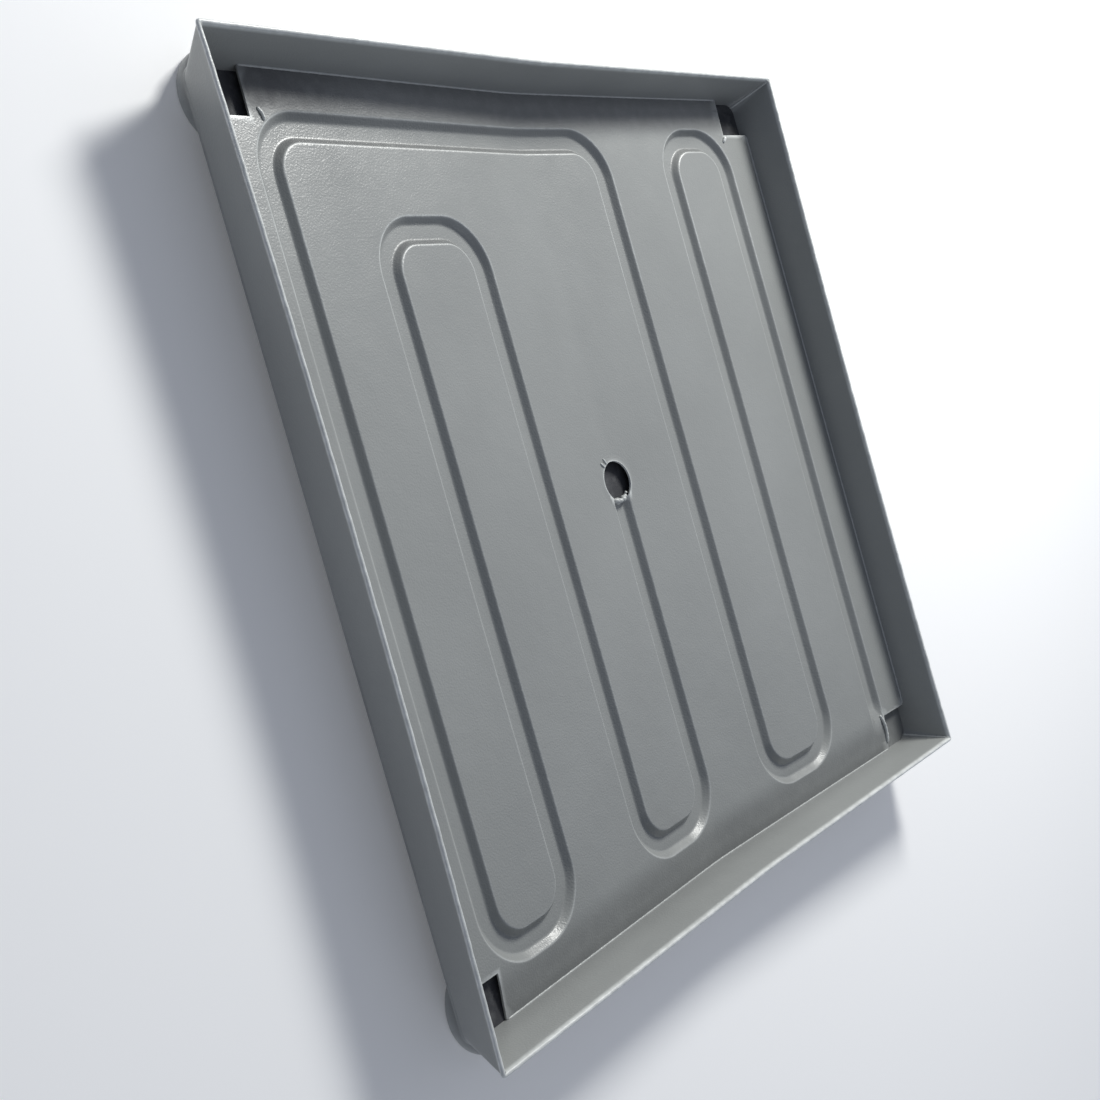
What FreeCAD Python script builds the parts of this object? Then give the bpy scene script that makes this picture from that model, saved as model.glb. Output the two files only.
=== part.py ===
import FreeCAD, Part
import math
import os
from FreeCAD import Vector

# Double-skinned square access cover: an open steel tray with flared walls, a floor
# pan with a pressed serpentine bead, a base plate under it, and four round pads.
# The origin is the centre of the plane the pads stand on, +Z up, millimetres.
# Both floors are broken along the Y centre line, so they fall towards x = 0.

os.makedirs("parts", exist_ok=True)

# ---- driving dimensions -------------------------------------------------------
RIM_HALF = 300.0          # half the outside of the square rim
RIM_HEIGHT = 56.0         # rim corners above the plane the pads stand on
RIM_DIP = 9.0             # how much lower the front and back rims are at the fold
SIDE_BOW = 5.0            # how far the left and right rims curve in at mid length
WALL_SHEET = 2.0          # wall thickness, measured level
SIDE_FLARE = 0.29         # left and right walls: lean in per unit of depth
END_FLARE = 0.236         # front and back walls: lean in per unit of depth

FOLD_SLOPE = 0.057        # rise of both floors per unit of distance from the fold
PAN_FOLD_DEPTH = 47.2     # pan surface below the rim corners, at the fold
PAN_SHEET = 1.5
BASE_SHEET = 2.0
BEAD_DEPTH = 4.0          # the bead's floor stands on the base plate
BEAD_HALF = 9.0           # half the bead's width at the pan surface
BEAD_FLOOR_HALF = 4.5
BEAD_SHOULDER = 10.0      # half the bead's width under the sheet
BEAD_HEEL = 5.6           # half the width of its underside

PAN_HALF_X = 287.5
PAN_HALF_Y = 288.5
NOTCH_X = 254.0           # inner corner of each corner notch
NOTCH_Y = 260.0
HOLE_RADIUS = 15.0

RUN_INNER = 82.7          # the bead's straight runs, either side of the fold
LEFT_RUN_MIDDLE = 172.7
LEFT_RUN_OUTER = 249.0
RIGHT_RUN_MIDDLE = 168.7
RIGHT_RUN_OUTER = 244.0
BEAD_END_Y = 255.5        # middle line of the bead's turns near the front and back
BEAD_LOW_Y = 259.0        # the right-hand front turn reaches a little further
HUMP_Y = 191.0            # middle line of the short turn on the left
TURN_RADIUS = 30.0        # middle line radius of every corner

PAD_RADIUS = 32.0         # the pads reach a little past the rim at the front and back
PAD_X = 251.0
PAD_Y = 278.0
PAD_CHAMFER = 2.0

SEAM_LEG = 2.5            # corner weld: leg length along each wall
TACK_LENGTH = 12.0
TACK_LEG = 2.5
TACK_REACH = 2.0          # past the pan's edge, into the wall's inner face
TACK_ROOT = 1.0           # down into the gap between them
EDGE_TACKS = (-180.0, 0.0, 180.0)
LUMP_PLACES = (-7.5, 0.0, 7.5)
LUMP_RADIUS = 3.0
LUMP_RISE = 1.0           # above the pan surface

# ---- derived levels -------------------------------------------------------------
FOLD_ANGLE = math.degrees(math.atan(FOLD_SLOPE))
PAN_TOP = RIM_HEIGHT - PAN_FOLD_DEPTH                 # at the fold
BASE_TOP = -(BEAD_DEPTH + PAN_SHEET)                  # below the pan surface, square to it
BASE_UNDER = BASE_TOP - BASE_SHEET
LEVEL_STRETCH = math.hypot(1.0, FOLD_SLOPE)           # turns a square offset into a level one
FAR = 400.0                                           # beyond every edge of the cover


def slab(x0, x1, y0, y1, z0, z1):
    """Box between two corners."""
    return Part.makeBox(x1 - x0, y1 - y0, z1 - z0, Vector(x0, y0, z0))


def prism(points, depth):
    """Solid from a closed outline, carried along a vector."""
    face = Part.Face(Part.makePolygon(points + points[:1]))
    return face.extrude(depth)


def folded(flat):
    """Break a flat shape along the Y axis, raise both halves, and lift it to the pan's level."""
    halves = []
    for side in (-1, 1):
        half = flat.copy()
        half.rotate(Vector(0, 0, 0), Vector(0, 1, 0), -side * FOLD_ANGLE)
        keep = slab(min(0, side * FAR), max(0, side * FAR), -FAR, FAR, -FAR, FAR)
        halves.append(half.common(keep))
    whole = halves[0].fuse(halves[1]).removeSplitter()
    whole.translate(Vector(0, 0, PAN_TOP))
    return whole


def base_top_z(x):
    """Height of the base plate's upper face."""
    return PAN_TOP + BASE_TOP * LEVEL_STRETCH + FOLD_SLOPE * abs(x)


# ---- walls ------------------------------------------------------------------------
def foot_of(rim, lean_x, lean_y):
    """Point where a line leaning in from the rim meets the base plate's upper face."""
    depth = (rim.z - base_top_z(rim.x)) / (1 - FOLD_SLOPE * lean_x)
    sx = math.copysign(1, rim.x)
    sy = math.copysign(1, rim.y)
    return rim + Vector(-sx * lean_x * depth, -sy * lean_y * depth, -depth)


def corner_rim(sx, sy, inset=0.0):
    """Rim corner, or the matching point on the inside of the sheet."""
    return Vector(sx * (RIM_HALF - inset), sy * (RIM_HALF - inset), RIM_HEIGHT)


def corner_section(sx, sy):
    """Mitred section where two walls meet."""
    outer = corner_rim(sx, sy)
    inner = corner_rim(sx, sy, WALL_SHEET)
    feet = [foot_of(p, SIDE_FLARE, END_FLARE) for p in (inner, outer)]
    return Part.makePolygon([outer, inner, feet[0], feet[1], outer])


def side_wall(sx):
    """Left or right wall: straight foot, rim curved inwards."""
    middle = []
    for inset in (0.0, WALL_SHEET):
        rim = Vector(sx * (RIM_HALF - SIDE_BOW - inset), 0, RIM_HEIGHT)
        foot = foot_of(corner_rim(sx, 1, inset), SIDE_FLARE, END_FLARE)
        middle.append([rim, Vector(foot.x, 0, foot.z)])
    (outer, outer_foot), (inner, inner_foot) = middle
    middle_section = Part.makePolygon([outer, inner, inner_foot, outer_foot, outer])
    sections = [corner_section(sx, -1), middle_section, corner_section(sx, 1)]
    return Part.makeLoft(sections, True, False)


def end_wall(sy):
    """Front or back wall: two straight halves that meet lower at the fold."""
    outer = Vector(0, sy * RIM_HALF, RIM_HEIGHT - RIM_DIP)
    inner = outer + Vector(0, -sy * WALL_SHEET, 0)
    feet = [foot_of(p, 0, END_FLARE) for p in (inner, outer)]
    middle = Part.makePolygon([outer, inner, feet[0], feet[1], outer])
    halves = [Part.makeLoft([middle, corner_section(sx, sy)], True, True) for sx in (-1, 1)]
    return halves[0].fuse(halves[1])


# ---- serpentine bead -----------------------------------------------------------------
def bead_corners():
    """Corner points of the bead's middle line, from the hole to the right-hand notch."""
    return [
        (0, 0), (0, -BEAD_END_Y), (-RUN_INNER, -BEAD_END_Y),
        (-RUN_INNER, HUMP_Y), (-LEFT_RUN_MIDDLE, HUMP_Y),
        (-LEFT_RUN_MIDDLE, -BEAD_END_Y), (-LEFT_RUN_OUTER, -BEAD_END_Y),
        (-LEFT_RUN_OUTER, BEAD_END_Y), (RUN_INNER, BEAD_END_Y),
        (RUN_INNER, -BEAD_LOW_Y), (RIGHT_RUN_MIDDLE, -BEAD_LOW_Y),
        (RIGHT_RUN_MIDDLE, BEAD_END_Y), (RIGHT_RUN_OUTER, BEAD_END_Y),
        (RIGHT_RUN_OUTER, -NOTCH_Y + 1.0),
    ]


def section_face(profile, at, direction):
    """Stand a cross-section upright at a point, square to a direction."""
    across = Vector(direction.y, -direction.x, 0)
    points = [at + across * u + Vector(0, 0, z) for u, z in profile]
    return Part.Face(Part.makePolygon(points + points[:1]))


def carried_along(profile, corners):
    """Carry a cross-section along straight runs joined by tangent quarter turns."""
    points = [Vector(x, y, 0) for x, y in corners]
    solids = []
    start = points[0]
    for before, corner, after in zip(points, points[1:], points[2:]):
        run_in = (corner - before).normalize()
        run_out = (after - corner).normalize()
        turn_start = corner - run_in * TURN_RADIUS
        turn_end = corner + run_out * TURN_RADIUS
        solids.append(section_face(profile, start, run_in).extrude(turn_start - start))
        turn = run_in.cross(run_out).z
        centre = turn_start + run_out * TURN_RADIUS
        face = section_face(profile, turn_start, run_in)
        solids.append(face.revolve(centre, Vector(0, 0, 1), math.copysign(90, turn)))
        start = turn_end
    last = (points[-1] - start).normalize()
    solids.append(section_face(profile, start, last).extrude(points[-1] - start))
    return solids[0].multiFuse(solids[1:]).removeSplitter()


def floor_pan():
    """Pan sheet with notched corners, the pressed bead and the centre hole."""
    sheet = slab(-PAN_HALF_X, PAN_HALF_X, -PAN_HALF_Y, PAN_HALF_Y, -PAN_SHEET, 0)
    trough = [
        (-BEAD_SHOULDER, 0), (-BEAD_SHOULDER, -PAN_SHEET), (-BEAD_HEEL, BASE_TOP),
        (BEAD_HEEL, BASE_TOP), (BEAD_SHOULDER, -PAN_SHEET), (BEAD_SHOULDER, 0),
    ]
    hollow = [
        (-BEAD_HALF, 1), (-BEAD_HALF, 0), (-BEAD_FLOOR_HALF, -BEAD_DEPTH),
        (BEAD_FLOOR_HALF, -BEAD_DEPTH), (BEAD_HALF, 0), (BEAD_HALF, 1),
    ]
    pan = sheet.fuse(carried_along(trough, bead_corners()))
    pan = pan.cut(carried_along(hollow, bead_corners()))
    for sx in (-1, 1):
        for sy in (-1, 1):
            x = sorted((sx * NOTCH_X, sx * FAR))
            y = sorted((sy * NOTCH_Y, sy * FAR))
            pan = pan.cut(slab(x[0], x[1], y[0], y[1], -FAR, FAR))
    pan = pan.cut(Part.makeCylinder(HOLE_RADIUS, 2 * FAR, Vector(0, 0, -FAR)))
    return folded(pan.removeSplitter())


def base_plate():
    """Plain sheet under the pan, out to the walls' outer feet."""
    corner = foot_of(corner_rim(1, 1), SIDE_FLARE, END_FLARE)
    half_x = corner.x * LEVEL_STRETCH
    corner_y = corner.y
    fold_y = foot_of(Vector(0, RIM_HALF, RIM_HEIGHT - RIM_DIP), 0, END_FLARE).y
    outline = [
        Vector(-half_x, -corner_y, BASE_UNDER), Vector(0, -fold_y, BASE_UNDER),
        Vector(half_x, -corner_y, BASE_UNDER), Vector(half_x, corner_y, BASE_UNDER),
        Vector(0, fold_y, BASE_UNDER), Vector(-half_x, corner_y, BASE_UNDER),
    ]
    return folded(prism(outline, Vector(0, 0, BASE_SHEET)))


def pad(sx, sy):
    """Round pad under one corner, cut off where it meets the sloping base plate."""
    centre = Vector(sx * PAD_X, sy * PAD_Y, 0)
    disc = Part.makeCylinder(PAD_RADIUS, RIM_HEIGHT, centre)
    lower_edge = [e for e in disc.Edges if e.BoundBox.ZMax < 1e-6]
    disc = disc.makeChamfer(PAD_CHAMFER, lower_edge)
    above_base = folded(slab(-FAR, FAR, -FAR, FAR, BASE_UNDER, FAR))
    return disc.cut(above_base)


# ---- welds ----------------------------------------------------------------------------
def corner_seam(sx, sy, obstacles):
    """Fillet weld down the inside of one corner, trimmed to the two walls."""
    top = corner_rim(sx, sy, WALL_SHEET)
    foot = foot_of(top, SIDE_FLARE, END_FLARE)
    rings = []
    for p in (top, foot):
        along_end = p + Vector(-sx * SEAM_LEG, 0, 0)
        along_side = p + Vector(0, -sy * SEAM_LEG, 0)
        along_end.z = p.z - (SEAM_LEG * RIM_DIP / RIM_HALF if p is top else FOLD_SLOPE * SEAM_LEG)
        rings.append(Part.makePolygon([p, along_end, along_side, p]))
    seam = Part.makeLoft(rings, True, True)
    for solid in obstacles:
        seam = seam.cut(solid)
    return max(seam.Solids, key=lambda piece: piece.Volume)


def pan_top_z(x):
    """Height of the pan's surface."""
    return PAN_TOP + FOLD_SLOPE * abs(x)


def edge_tack(sx, sy, along, obstacles):
    """Short weld in the corner between the pan's edge and a wall, trimmed to fit both."""
    half = TACK_LENGTH / 2
    if sx:
        edge = Vector(sx * PAN_HALF_X, along - half, pan_top_z(PAN_HALF_X))
        out = Vector(sx, 0, 0)
        length = Vector(0, TACK_LENGTH, 0)
    else:
        edge = Vector(along - half, sy * PAN_HALF_Y, pan_top_z(along))
        out = Vector(0, sy, 0)
        length = Vector(TACK_LENGTH, 0, 0)
    toe = edge - out * TACK_LEG - Vector(0, 0, TACK_ROOT)
    root = edge + out * TACK_REACH - Vector(0, 0, TACK_ROOT)
    crest = edge + out * TACK_REACH + Vector(0, 0, TACK_LEG)
    tack = prism([toe, root, crest], length)
    for solid in obstacles:
        tack = tack.cut(solid)
    return max(tack.Solids, key=lambda piece: piece.Volume)


def hole_lumps(pan):
    """Weld lumps that tie the pan to the base plate at the front edge of the hole."""
    lumps = []
    for x in LUMP_PLACES:
        y = -math.sqrt(HOLE_RADIUS ** 2 - x ** 2)
        foot = base_top_z(x) - LUMP_RADIUS * FOLD_SLOPE
        post = Part.makeCylinder(LUMP_RADIUS, PAN_TOP + LUMP_RISE - foot, Vector(x, y, foot))
        lump = post.cut(folded(slab(-FAR, FAR, -FAR, FAR, -FAR, BASE_TOP))).cut(pan)
        lumps.append(max(lump.Solids, key=lambda piece: piece.Volume))
    return lumps


def save(shape, node):
    """Write one node as STEP and say what it is."""
    valid = shape.isValid()
    print(f"{node:20s} solids {len(shape.Solids):2d} valid {valid} volume {shape.Volume:12.1f}")
    shape.exportStep(f"parts/{node}.step")


def main():
    base = base_plate()
    pan = floor_pan()
    walls = {
        "wall_left": side_wall(-1), "wall_right": side_wall(1),
        "wall_front": end_wall(-1), "wall_back": end_wall(1),
    }
    save(base, "base_plate")
    save(pan, "floor_pan")
    for node, wall in walls.items():
        save(wall, node)

    corners = {
        "front_left": (-1, -1), "front_right": (1, -1), "back_left": (-1, 1), "back_right": (1, 1),
    }
    for place, (sx, sy) in corners.items():
        end_name, side_name = place.split("_")
        meeting = (walls["wall_" + end_name], walls["wall_" + side_name])
        save(pad(sx, sy), "pad_" + place)
        save(corner_seam(sx, sy, meeting), "seam_weld_" + place)

    for side, sx, sy in (("left", -1, 0), ("right", 1, 0), ("front", 0, -1), ("back", 0, 1)):
        obstacles = (pan, walls["wall_" + side])
        tacks = [edge_tack(sx, sy, along, obstacles) for along in EDGE_TACKS]
        save(Part.makeCompound(tacks), "tack_welds_" + side)

    save(Part.makeCompound(hole_lumps(pan)), "hole_weld")


main()
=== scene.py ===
# %% [markdown]
# # A pressed steel access cover
#
# This cover is a shallow square tray of painted steel sheet. It is set into a frame in the
# ground, and its floor carries a pressed serpentine groove that stiffens the sheet. Below it
# is a plain base plate, and four round pads stand at the corners.
#
# The CAD model is loaded first and never moved. It gives the size and the place of each part.
# Every visible sheet is then made again as a finer surface, because the gloss of paint shows
# each small bend, rounded edge and weld, and a CAD solid has none of them.

import bmesh
import bpy
import numpy as np
from mathutils import Matrix, Vector
from mathutils.geometry import delaunay_2d_cdt


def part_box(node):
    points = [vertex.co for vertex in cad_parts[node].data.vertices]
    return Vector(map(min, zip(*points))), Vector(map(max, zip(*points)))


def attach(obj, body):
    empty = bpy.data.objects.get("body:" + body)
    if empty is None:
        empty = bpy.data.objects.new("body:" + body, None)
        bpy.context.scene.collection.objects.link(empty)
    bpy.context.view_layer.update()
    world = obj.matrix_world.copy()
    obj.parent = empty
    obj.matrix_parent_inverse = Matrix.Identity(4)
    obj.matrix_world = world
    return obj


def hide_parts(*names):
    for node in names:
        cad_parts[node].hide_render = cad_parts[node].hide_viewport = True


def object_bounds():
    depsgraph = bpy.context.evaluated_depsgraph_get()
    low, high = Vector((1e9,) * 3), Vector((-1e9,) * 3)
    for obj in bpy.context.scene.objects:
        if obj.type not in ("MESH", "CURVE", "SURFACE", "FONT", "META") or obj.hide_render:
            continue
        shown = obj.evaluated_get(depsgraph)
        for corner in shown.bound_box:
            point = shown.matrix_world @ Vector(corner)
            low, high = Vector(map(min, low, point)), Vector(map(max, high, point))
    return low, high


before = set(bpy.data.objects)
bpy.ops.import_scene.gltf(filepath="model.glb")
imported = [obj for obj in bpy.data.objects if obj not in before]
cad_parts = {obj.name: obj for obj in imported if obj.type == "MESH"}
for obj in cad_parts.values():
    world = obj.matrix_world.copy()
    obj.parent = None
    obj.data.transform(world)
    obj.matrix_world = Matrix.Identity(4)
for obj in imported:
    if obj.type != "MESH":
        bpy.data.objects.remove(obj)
BODY = "root"
CAD_LOW, CAD_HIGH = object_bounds()
print("CAD box", [round(v, 4) for v in (*CAD_LOW, *CAD_HIGH)])

# %% [markdown]
# ## Camera
#
# The cover lies flat on its pads, and the camera is the thing that tilts. A camera's place in
# Blender is a matrix: its columns are the directions right, up and backwards, then the
# position. Two directions are enough, because the third is their cross product.

# %% Place the camera
EYE = Vector((-0.7773, -0.0003, 0.6208))
AHEAD = Vector((0.7460, -0.0352, -0.6650)).normalized()
UPWARD = Vector((0.2075, 0.9612, 0.1819))
SENSOR_WIDTH, LENS = 36.0, 44.187
rightward = AHEAD.cross(UPWARD).normalized()
upward = rightward.cross(AHEAD)
camera = bpy.data.objects.new("camera", bpy.data.cameras.new("camera"))
camera.data.sensor_width = SENSOR_WIDTH
camera.data.lens = LENS
camera.matrix_world = Matrix((
    (rightward.x, upward.x, -AHEAD.x, EYE.x),
    (rightward.y, upward.y, -AHEAD.y, EYE.y),
    (rightward.z, upward.z, -AHEAD.z, EYE.z),
    (0.0, 0.0, 0.0, 1.0),
))
bpy.context.scene.collection.objects.link(camera)
bpy.context.scene.camera = camera
print("camera at", [round(v, 3) for v in EYE], "lens", LENS, "mm")

# %% [markdown]
# ## Light
#
# Paint is mostly read from its reflections, so the lights are large and soft. The main one
# stands behind the back wall, on the right. It fills the front wall with light, leaves the
# back wall's inner side dark, and lets that wall shade the strip of tray next to it. A wide,
# weak one stands far on the right, where the tray reflects it towards the camera, and another
# one in front takes the blackness out of the shadows.

# %% Add the lights
def soft_box(name, place, aim, size, power, tint):
    """Square area light at a place, turned to face a point."""
    lamp = bpy.data.lights.new(name, "AREA")
    lamp.shape = "SQUARE"
    lamp.size = size
    lamp.energy = power
    lamp.color = tint
    holder = bpy.data.objects.new(name, lamp)
    holder.location = place
    holder.rotation_euler = (Vector(aim) - Vector(place)).to_track_quat("-Z", "Y").to_euler()
    bpy.context.scene.collection.objects.link(holder)
    print("light", name, place, f"{power} W")


CENTRE = (0.0, 0.0, 0.0)
ROOM_COLOUR, ROOM_STRENGTH = (0.74, 0.82, 1.0, 1.0), 0.29
soft_box("light_back", (0.84, 1.20, 1.05), CENTRE, 0.42, 41.0, (1.0, 1.0, 0.97))
soft_box("light_right", (1.55, 0.10, 1.25), CENTRE, 1.5, 3.0, (0.95, 0.97, 1.0))
soft_box("light_front", (-0.2, -2.3, 0.45), CENTRE, 1.6, 11.0, (0.90, 0.94, 1.0))
bpy.context.scene.view_settings.view_transform = "Standard"
world = bpy.data.worlds.new("pale_room")
world.use_nodes = True
room = world.node_tree.nodes["Background"]
room.inputs["Color"].default_value = ROOM_COLOUR
room.inputs["Strength"].default_value = ROOM_STRENGTH
bpy.context.scene.world = world

# %% [markdown]
# ## Mesh helpers
#
# A numpy surface is a grid of points and the quads between them. Both are worked out as whole
# arrays and handed to Blender in one call. Each piece also gets two attributes that the paint
# reads: `wear_and_highlight` is 1 along edges that get rubbed and where a highlight is painted,
# and `painted_shade` is 1 where shade is painted in.

# %% Define the mesh helpers
def grid_quads(rows, columns, round_rows=False, round_columns=False):
    """Corner numbers of the quads between the points of a grid, wrapped round where asked."""
    last_row = rows if round_rows else rows - 1
    last_column = columns if round_columns else columns - 1
    i, j = np.meshgrid(np.arange(last_row), np.arange(last_column), indexing="ij")
    down, across = (i + 1) % rows, (j + 1) % columns
    corners = (i * columns + j, down * columns + j, down * columns + across, i * columns + across)
    return np.stack(corners, axis=-1).reshape(-1, 4)


def smoothstep(low, high, value):
    """0 below low, 1 above high, and a level-ended curve between them."""
    t = np.clip((value - low) / (high - low), 0.0, 1.0)
    return t * t * (3.0 - 2.0 * t)


def ripple(place, wavelengths, phase):
    """Uneven wave between about -1 and 1: the mean of sines that don't share a period."""
    turned = 2.0 * np.pi * place
    waves = [np.sin(turned / w + phase * (k + 1)) for k, w in enumerate(wavelengths)]
    return np.mean(waves, axis=0)


MERGE_DISTANCE, ZERO_LENGTH = 1e-6, 1e-7


def add_piece(name, points, faces, material, nodes, wear_and_highlight=0.0, painted_shade=0.0, sharp=35.0):
    """Mesh object from points and faces, riding the cover and standing for its CAD nodes."""
    mesh = bpy.data.meshes.new(name)
    mesh.from_pydata(np.asarray(points).reshape(-1, 3).tolist(), [], [list(f) for f in faces])
    for attribute, value in (("wear_and_highlight", wear_and_highlight), ("painted_shade", painted_shade)):
        spread = np.broadcast_to(value, np.shape(points)[:-1]).reshape(-1)
        layer = mesh.attributes.new(attribute, "FLOAT", "POINT")
        layer.data.foreach_set("value", spread.astype(np.float32))
    shell = bmesh.new()
    shell.from_mesh(mesh)
    bmesh.ops.remove_doubles(shell, verts=shell.verts, dist=MERGE_DISTANCE)
    bmesh.ops.dissolve_degenerate(shell, edges=shell.edges, dist=ZERO_LENGTH)
    bmesh.ops.recalc_face_normals(shell, faces=shell.faces)
    shell.to_mesh(mesh)
    shell.free()
    mesh.shade_smooth()
    mesh.set_sharp_from_angle(angle=np.radians(sharp))
    mesh.materials.append(material)
    piece = bpy.data.objects.new(name, mesh)
    bpy.context.scene.collection.objects.link(piece)
    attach(piece, BODY)
    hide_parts(*nodes)
    print(f"{name}: {len(mesh.vertices)} points, {len(mesh.polygons)} faces")
    return piece


# %% [markdown]
# ## Paint
#
# The real finish is one coat of semi-gloss grey, sprayed or powdered on. Three things make it
# look real: a fine orange-peel bump, a slow drift in tone and gloss from one area to the next,
# and thin lighter lines along the edges, partly rubbed paint and partly painted highlight. The
# first two are noise on Object coordinates, so the grain has the same size on every piece. The
# lines follow the `wear_and_highlight` attribute. A dark, dull coat follows `painted_shade`: it
# is painted shade, darkest on the base plate's upper side inside the double floor, and lighter
# along the walls, in the pan's margins and in its grooves.

# %% Define the paint's nodes
def set_inputs(node, **values):
    """Write plain values into a node's sockets, where _ in a name stands for a space."""
    for socket, value in values.items():
        node.inputs[socket.replace("_", " ")].default_value = value


def noise(tree, scale, detail):
    """Layered noise on Object coordinates, mostly near one half."""
    node = tree.nodes.new("ShaderNodeTexNoise")
    set_inputs(node, Scale=scale, Detail=detail)
    tree.links.new(tree.nodes["Texture Coordinate"].outputs["Object"], node.inputs["Vector"])
    return node.outputs["Fac"]


def ramp(tree, source, low, high, low_value, high_value):
    """Straight-line map from one range of values to another, held at both ends."""
    node = tree.nodes.new("ShaderNodeMapRange")
    set_inputs(node, From_Min=low, From_Max=high, To_Min=low_value, To_Max=high_value)
    tree.links.new(source, node.inputs["Value"])
    return node.outputs["Result"]


def blend(tree, factor, first, second):
    """First colour times one minus the factor, plus the second times the factor."""
    node = tree.nodes.new("ShaderNodeMix")
    node.data_type = "RGBA"
    tree.links.new(factor, node.inputs["Factor"])
    for socket, value in (("A", first), ("B", second)):
        target = [s for s in node.inputs if s.name == socket and s.type == "RGBA"][0]
        if isinstance(value, tuple):
            target.default_value = (*value, 1.0)
        else:
            tree.links.new(value, target)
    return [s for s in node.outputs if s.type == "RGBA"][0]


def patchy(tree, attribute, scale, low, high, least):
    """An attribute times a noise that falls to `least`, so that its border is never clean."""
    source = tree.nodes.new("ShaderNodeAttribute")
    source.attribute_name = attribute
    product = tree.nodes.new("ShaderNodeMath")
    product.operation = "MULTIPLY"
    tree.links.new(source.outputs["Fac"], product.inputs[0])
    broken = ramp(tree, noise(tree, scale, 4.0), low, high, least, 1.0)
    tree.links.new(broken, product.inputs[1])
    return product.outputs["Value"]


def bump(tree, scale, detail, distance, strength):
    """Bump node that reads a noise as its height."""
    node = tree.nodes.new("ShaderNodeBump")
    set_inputs(node, Distance=distance, Strength=strength)
    tree.links.new(noise(tree, scale, detail), node.inputs["Height"])
    return node


# %% Mix the paint
# Dark, dull colour for painted shade, and for the clean coat's random dull patches.
DIRT_AND_SHADE = (0.030, 0.031, 0.036)
DIRT_AND_SHADE_DULLING = 0.35
TONE_DRIFT = 0.05


def coat_colour(tree, tone, dirt_and_shade):
    """Drifting tone with fine light specks, then rubbed edges and painted highlight over it,
    then dirt and painted shade.
    """
    darker = tuple(c * (1.0 - TONE_DRIFT) for c in tone)
    lighter = tuple(c * (1.0 + TONE_DRIFT) for c in tone)
    # Light colour for rubbed edges and for painted highlights.
    rubbed_and_lit = tuple(min(1.0, c * 2.2 + 0.04) for c in tone)
    clouds = ramp(tree, noise(tree, 9.0, 3.0), 0.3, 0.7, 0.0, 1.0)
    specks = ramp(tree, noise(tree, 900.0, 2.0), 0.60, 0.78, 0.0, 0.35)
    coat = blend(tree, specks, blend(tree, clouds, darker, lighter), lighter)
    coat = blend(tree, patchy(tree, "wear_and_highlight", 160.0, 0.35, 0.62, 0.70), coat, rubbed_and_lit)
    return blend(tree, dirt_and_shade, coat, DIRT_AND_SHADE)


def coat_gloss(tree, gloss, dirt_and_shade):
    """Roughness: a slow drift round the paint's own,
    plus the dirt and painted shade times its dulling.
    """
    shine = ramp(tree, noise(tree, 38.0, 4.0), 0.3, 0.7, gloss - 0.04, gloss + 0.05)
    dulled = tree.nodes.new("ShaderNodeMath")
    dulled.operation = "MULTIPLY_ADD"
    tree.links.new(dirt_and_shade, dulled.inputs[0])
    dulled.inputs[1].default_value = DIRT_AND_SHADE_DULLING
    tree.links.new(shine, dulled.inputs[2])
    return dulled.outputs["Value"]


def painted_steel(name, tone, gloss, peel, clean=False):
    """Semi-gloss paint with an orange peel: a fine bump on top of a broad one."""
    material = bpy.data.materials.new(name)
    material.use_nodes = True
    tree = material.node_tree
    tree.nodes.new("ShaderNodeTexCoord")
    shader = tree.nodes["Principled BSDF"]
    # A clean coat gets only random dull patches; on the others an attribute marks painted shade.
    if clean:
        dirt_and_shade = ramp(tree, noise(tree, 14.0, 5.0), 0.52, 0.80, 0.0, 0.35)
    else:
        dirt_and_shade = patchy(tree, "painted_shade", 120.0, 0.30, 0.60, 0.80)
    tree.links.new(coat_colour(tree, tone, dirt_and_shade), shader.inputs["Base Color"])
    tree.links.new(coat_gloss(tree, gloss, dirt_and_shade), shader.inputs["Roughness"])
    fine = bump(tree, 760.0, 1.5, peel, 1.0)
    broad = bump(tree, 70.0, 1.0, peel * 2.0, 0.6)
    tree.links.new(fine.outputs["Normal"], broad.inputs["Normal"])
    tree.links.new(broad.outputs["Normal"], shader.inputs["Normal"])
    set_inputs(shader, Specular_IOR_Level=0.5)
    print("paint", name, "tone", [round(c, 3) for c in tone])
    return material


GREY = (0.262, 0.270, 0.264)
PEEL = 0.00018
paint_sheet = painted_steel("paint_sheet", GREY, 0.34, PEEL)
paint_pan = painted_steel("paint_pan", GREY, 0.33, PEEL)
paint_under = painted_steel("paint_under", GREY, 0.38, PEEL, clean=True)
paint_pad = painted_steel("paint_pad", tuple(c * 0.9 for c in GREY), 0.46, 0.00016)
paint_weld = painted_steel("paint_weld", tuple(c * 1.05 for c in GREY), 0.34, 0.00024)

# %% [markdown]
# ## Standing surface
#
# The cover lies on a plain pale floor. It isn't part of the object, so it is marked as stage.

# %% Lay the floor
WHITE, FLOOR_GREY = (1.0, 1.0, 1.0, 1.0), (0.86, 0.86, 0.86, 1.0)
FLOOR_GLOW = 0.08


def stage_floor(half):
    """Flat square at the level that the pads stand on."""
    mesh = bpy.data.meshes.new("stage_floor")
    corners = [(-half, -half, 0), (half, -half, 0), (half, half, 0), (-half, half, 0)]
    mesh.from_pydata(corners, [], [(0, 1, 2, 3)])
    mesh.materials.append(bpy.data.materials.new("pale_floor"))
    mesh.materials[0].use_nodes = True
    shader = mesh.materials[0].node_tree.nodes["Principled BSDF"]
    set_inputs(shader, Base_Color=FLOOR_GREY, Roughness=0.9,
               Emission_Color=WHITE, Emission_Strength=FLOOR_GLOW)
    ground = bpy.data.objects.new("stage_floor", mesh)
    bpy.context.scene.collection.objects.link(ground)
    print("floor", 2 * half, "m wide")


stage_floor(6.0)

# %% [markdown]
# ## The shape of the tray
#
# Both floors are broken along one line, like a sheet of card with a soft crease, so they fall
# towards the middle. The front and back rims dip there too, and the left and right rims curve
# in a little. A few functions say all of this, and every piece is built on them, so the
# pieces meet without being fitted to each other.

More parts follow.
